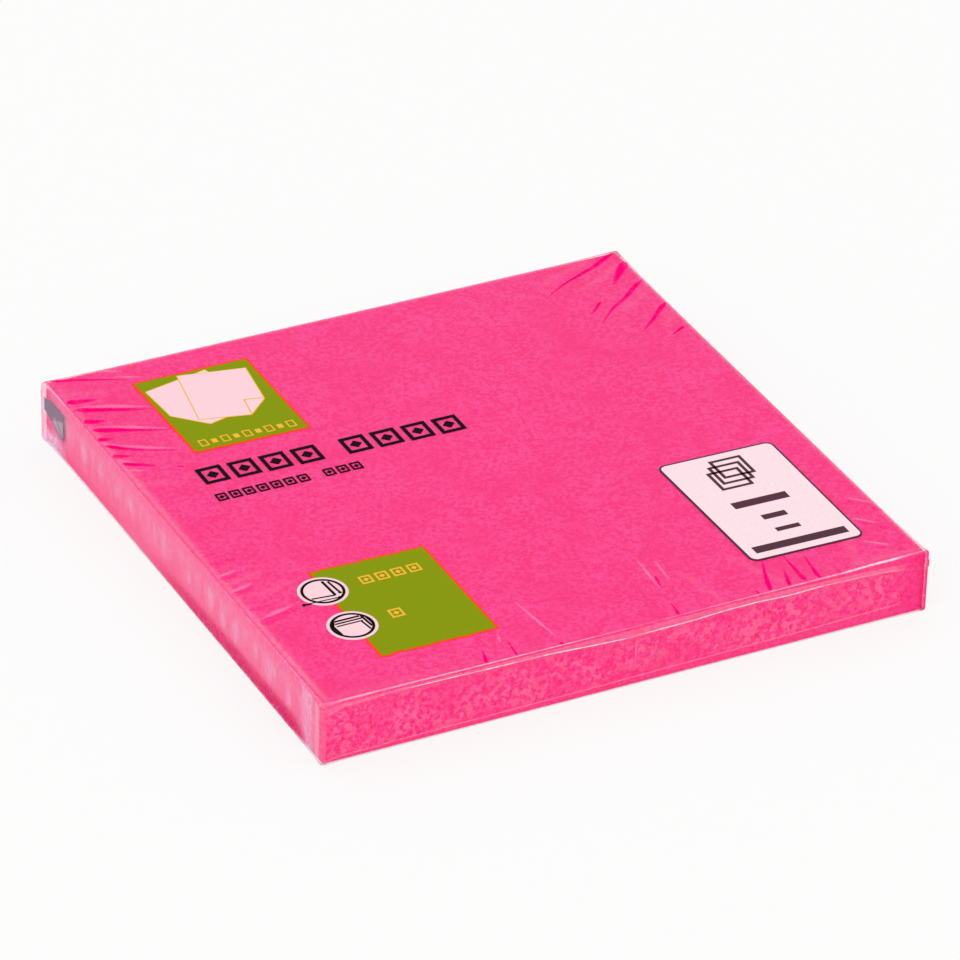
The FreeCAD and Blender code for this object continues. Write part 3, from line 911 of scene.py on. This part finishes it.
upper = np.array([(-28.65, 16.13), (-13.85, 15.79), (-14.0, 33.54), (-28.94, 33.65)])
lower = np.array([(-28.04, -31.86), (-13.39, -32.05), (-13.45, -12.99), (-27.96, -12.63)])
for corners, wave in ((upper, 0.05), (lower, 0.12)):    # each field's own crookedness
    edge = spots(corners, box_loop(0, 0, 1, 1, 40))
    edge[:, 1] += wave * np.sin(edge[:, 0] * 1.9) * np.sin(edge[:, 0] * 0.7 + 1)
    orange.outline(edge, FIELD_LINE)
    green.fill(shrink(edge, FIELD_INSET))

# %% [markdown]
# The upper field holds a pale sheet with a turned corner, and a row of small marks under it. The two
# round signs beside the lower field show a sheet with its two sides measured, and a stack of sheets. They
# are plain pictures.

# %% Draw the pale sheet and the round signs
SHEET_RIM, EDGE_PEN, MARK_PEN = 0.14, 0.16, 0.17
SIGN_RADIUS, RING_RADIUS, RING_PEN, DOT_RADIUS = 2.92, 2.55, 0.34, 0.22
OVER_SHEETS = 0.045
MARK_STEP = 0.094    # from one small mark to the next, as a share of the field

for lift, sheet in (
    (0.0, [(0.06, 0.5), (0.3, 0.3), (0.82, 0.42), (0.62, 0.97), (0.04, 0.86)]),
    (0.018, [(0.24, 0.38), (0.66, 0.3), (0.86, 0.46), (0.93, 0.88), (0.37, 0.97)]),
):
    yellow.fill(spots(upper, sheet), lift)
    pale.fill(shrink(spots(upper, sheet), SHEET_RIM), lift)
yellow.high += OVER_SHEETS
yellow.stroke(*spots(upper, [(0.66, 0.31), (0.7, 0.5)]), EDGE_PEN)
yellow.stroke(*spots(upper, [(0.7, 0.5), (0.855, 0.47)]), EDGE_PEN)
for index in range(9):
    left = 0.09 + index * MARK_STEP
    if index % 2:
        yellow.fill(spots(upper, box_loop(left + 0.012, 0.07, left + 0.058, 0.12)))
    else:
        yellow.outline(spots(upper, box_loop(left, 0.055, left + 0.07, 0.135)), MARK_PEN)
for centre in ((-28.05, -17.0), (-28.1, -24.75)):
    pale.fill(disc_loop(centre, SIGN_RADIUS))
    black.outline(disc_loop(centre, RING_RADIUS), RING_PEN)
for start, end, width in (
    ((-27.3, -15.1), (-27.1, -18.3), 0.34), ((-27.1, -18.3), (-29.9, -18.0), 0.24),
    ((-26.7, -15.4), (-26.4, -17.9), 0.28), ((-26.8, -18.9), (-31.2, -18.7), 0.18),
    ((-26.6, -23.3), (-29.7, -23.3), 0.32), ((-26.5, -23.8), (-29.8, -23.8), 0.26),
    ((-26.6, -24.3), (-29.8, -24.3), 0.22), ((-29.8, -23.3), (-30.2, -24.2), 0.3),
    ((-30.2, -24.2), (-30.0, -26.0), 0.32), ((-26.4, -23.3), (-26.1, -25.7), 0.3),
    ((-26.8, -24.3), (-26.5, -26.2), 0.24), ((-26.0, -23.8), (-25.8, -25.3), 0.2),
):
    black.stroke(start, end, width)
for end in ((-31.2, -18.7), (-26.4, -18.0), (-26.8, -18.9)):
    black.fill(disc_loop(end, DOT_RADIUS, 12))

# %% [markdown]
# Next come rows of marks. A mark is a square tile in outline with a diamond in its middle. The big row is
# drawn with a thick pen, and the rows of small tiles with a thin one. The label holds a stack of sheets
# and four bars.

# %% Draw the rows of marks and the label
def tile_row(ink, left, low, count, size, high, gap, pen, slope):
    """A row of square tiles in outline, each with a filled diamond in its middle."""
    for index in range(count):
        x = left + index * (size + gap)
        y = low + (x - left) * slope
        ink.outline(box_loop(x, y, x + size, y + high), pen)
        ink.fill(disc_loop((x + size / 2, y + high / 2), size * 0.24, 4))


tile_row(black, -30.3, 9.3, 4, 3.1, 3.4, 0.85, 0.46, -0.04)
tile_row(black, -12.3, 8.6, 4, 3.1, 3.4, 0.85, 0.46, -0.04)
tile_row(black, -30.5, 5.35, 7, 1.3, 1.5, 0.42, 0.19, -0.013)
tile_row(black, -16.9, 5.2, 3, 1.3, 1.5, 0.42, 0.19, -0.013)
tile_row(yellow, -23.3, -17.6, 4, 1.5, 1.6, 0.5, 0.24, 0.0)
tile_row(yellow, -23.3, -25.3, 1, 1.6, 1.7, 0.4, 0.26, 0.0)

label = np.array([(18.97, -31.68), (33.49, -31.99), (33.6, -9.28), (18.66, -8.94)])
flat_corners = [((0.93, 0.045), -90), ((0.93, 0.955), 0), ((0.07, 0.955), 90), ((0.07, 0.045), 180)]
rounded = [
    np.asarray(centre) + np.stack([np.cos(angle), np.sin(angle)], 1) * (0.07, 0.045)
    for centre, start in flat_corners for angle in [np.radians(start + np.linspace(0, 90, 9))]
]
rounded = spots(label, np.concatenate(rounded))
plum.outline(rounded, 0.22)
label_white.fill(shrink(rounded, 0.1))
for shift in (0.0, 0.05, 0.1):
    plum.outline(spots(label, box_loop(0.3 + shift, 0.66 + shift, 0.58 + shift, 0.84 + shift)), 0.42)
for left, low, right, high in (
    (0.26, 0.475, 0.74, 0.535), (0.39, 0.33, 0.6, 0.375),
    (0.4, 0.205, 0.61, 0.24), (0.09, 0.06, 0.91, 0.12),
):
    plum.fill(spots(label, box_loop(left, low, right, high)))

wall_patch = Ink("ink_wall_patch", rgb(142, 124, 142), 2, "left")
wall_patch.fill([
    (-37.3, 4.7), (-36.3, 4.0), (-35.3, 3.5), (-33.6, 2.8), (-32.4, 2.7),
    (-32.3, 4.5), (-32.3, 6.2), (-34.9, 6.3), (-36.1, 6.3), (-37.3, 6.3),
])
wall_crease = Ink("ink_wall_crease", rgb(184, 160, 176), 3, "left")
wall_crease.fill([(-35.9, 4.0), (-32.7, 2.9), (-34.4, 4.6)])
wall_crease.fill([(-37.0, 5.9), (-34.6, 4.7), (-34.9, 4.4)])
wall_crease.fill([(-34.2, 4.7), (-32.6, 3.2), (-32.5, 5.3)])
for ink in (orange, green, yellow, pale, black, label_white, plum, wall_patch, wall_crease):
    ink.made()

# %% [markdown]
# ## The room
# The pad lies on a pale floor in a white room, under soft light from all round, so it throws almost no
# shadow. A large lamp behind the camera adds a little more on the top and the front. The camera sees the
# floor as nearly white, and a little darker where the pad shades it.

# %% Floor, lamp and room
FLOOR_GLOW = 0.8


def seen_share(shader):
    """1 for rays from the camera, also off a mirror or through glass, and 0 for rays that light."""
    kinds = ("Is Camera Ray", "Is Glossy Ray", "Is Transmission Ray")
    straight, mirrored_ray, passing = [shader.node("ShaderNodeLightPath", output=kind) for kind in kinds]
    return (straight + mirrored_ray + passing).at_most(1.0)


def floor_material():
    """Pale matt paint with a faint grain. To the camera it glows too, so that its shade stays light."""
    shader = Shader(bpy.data.materials.new("floor"))
    grain = shader.noise(3.0, detail=2)
    shaded = shader.matt(shader.blend(grain, rgb(240, 239, 238), rgb(244, 244, 243)))
    glow = shader.node("ShaderNodeEmission", {}, {"Strength": 1.0})
    return shader.done(shader.layer(seen_share(shader) * FLOOR_GLOW, shaded, glow))


bpy.ops.mesh.primitive_plane_add(size=6.0, location=(0, 0, -0.00002))
floor = bpy.context.object
floor.name = "floor"
floor.data.materials.append(floor_material())
lamp_data = bpy.data.lights.new("soft_lamp", "AREA")
lamp_data.shape, lamp_data.size, lamp_data.energy = "DISK", 1.0, 3.3
lamp = bpy.data.objects.new("soft_lamp", lamp_data)
bpy.context.scene.collection.objects.link(lamp)
lamp.location = (-0.9, -0.85, 0.7)
lamp.rotation_euler = (-Vector(lamp.location)).to_track_quat("-Z", "Y").to_euler()
floor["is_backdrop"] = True

world = bpy.data.worlds.new("white_room")
bpy.context.scene.world = world
room = Shader(world, "ShaderNodeOutputWorld")
light = room.node("ShaderNodeBackground", {}, {"Color": (1.0, 0.99, 0.985, 1.0), "Strength": 0.95})
white = room.node("ShaderNodeBackground", {}, {"Strength": 1.0})
room.done(room.layer(seen_share(room), light, white))
bpy.context.scene.view_settings.view_transform = "Standard"
print("world", world.name, "and lamp at", [round(place, 2) for place in lamp.location])

# %% [markdown]
# ## The boxes
# The pad with its looks must be as large as the CAD model, so both boxes are printed at the end.

# %% Print the boxes
seen_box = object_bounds()
boxes = {
    "cad": [list(map(float, corner)) for corner in cad_box],
    "seen": [list(map(float, corner)) for corner in seen_box],
}
for name, box in boxes.items():
    print(name, "box in millimetres", np.round(np.array(box) / MM, 2).tolist())
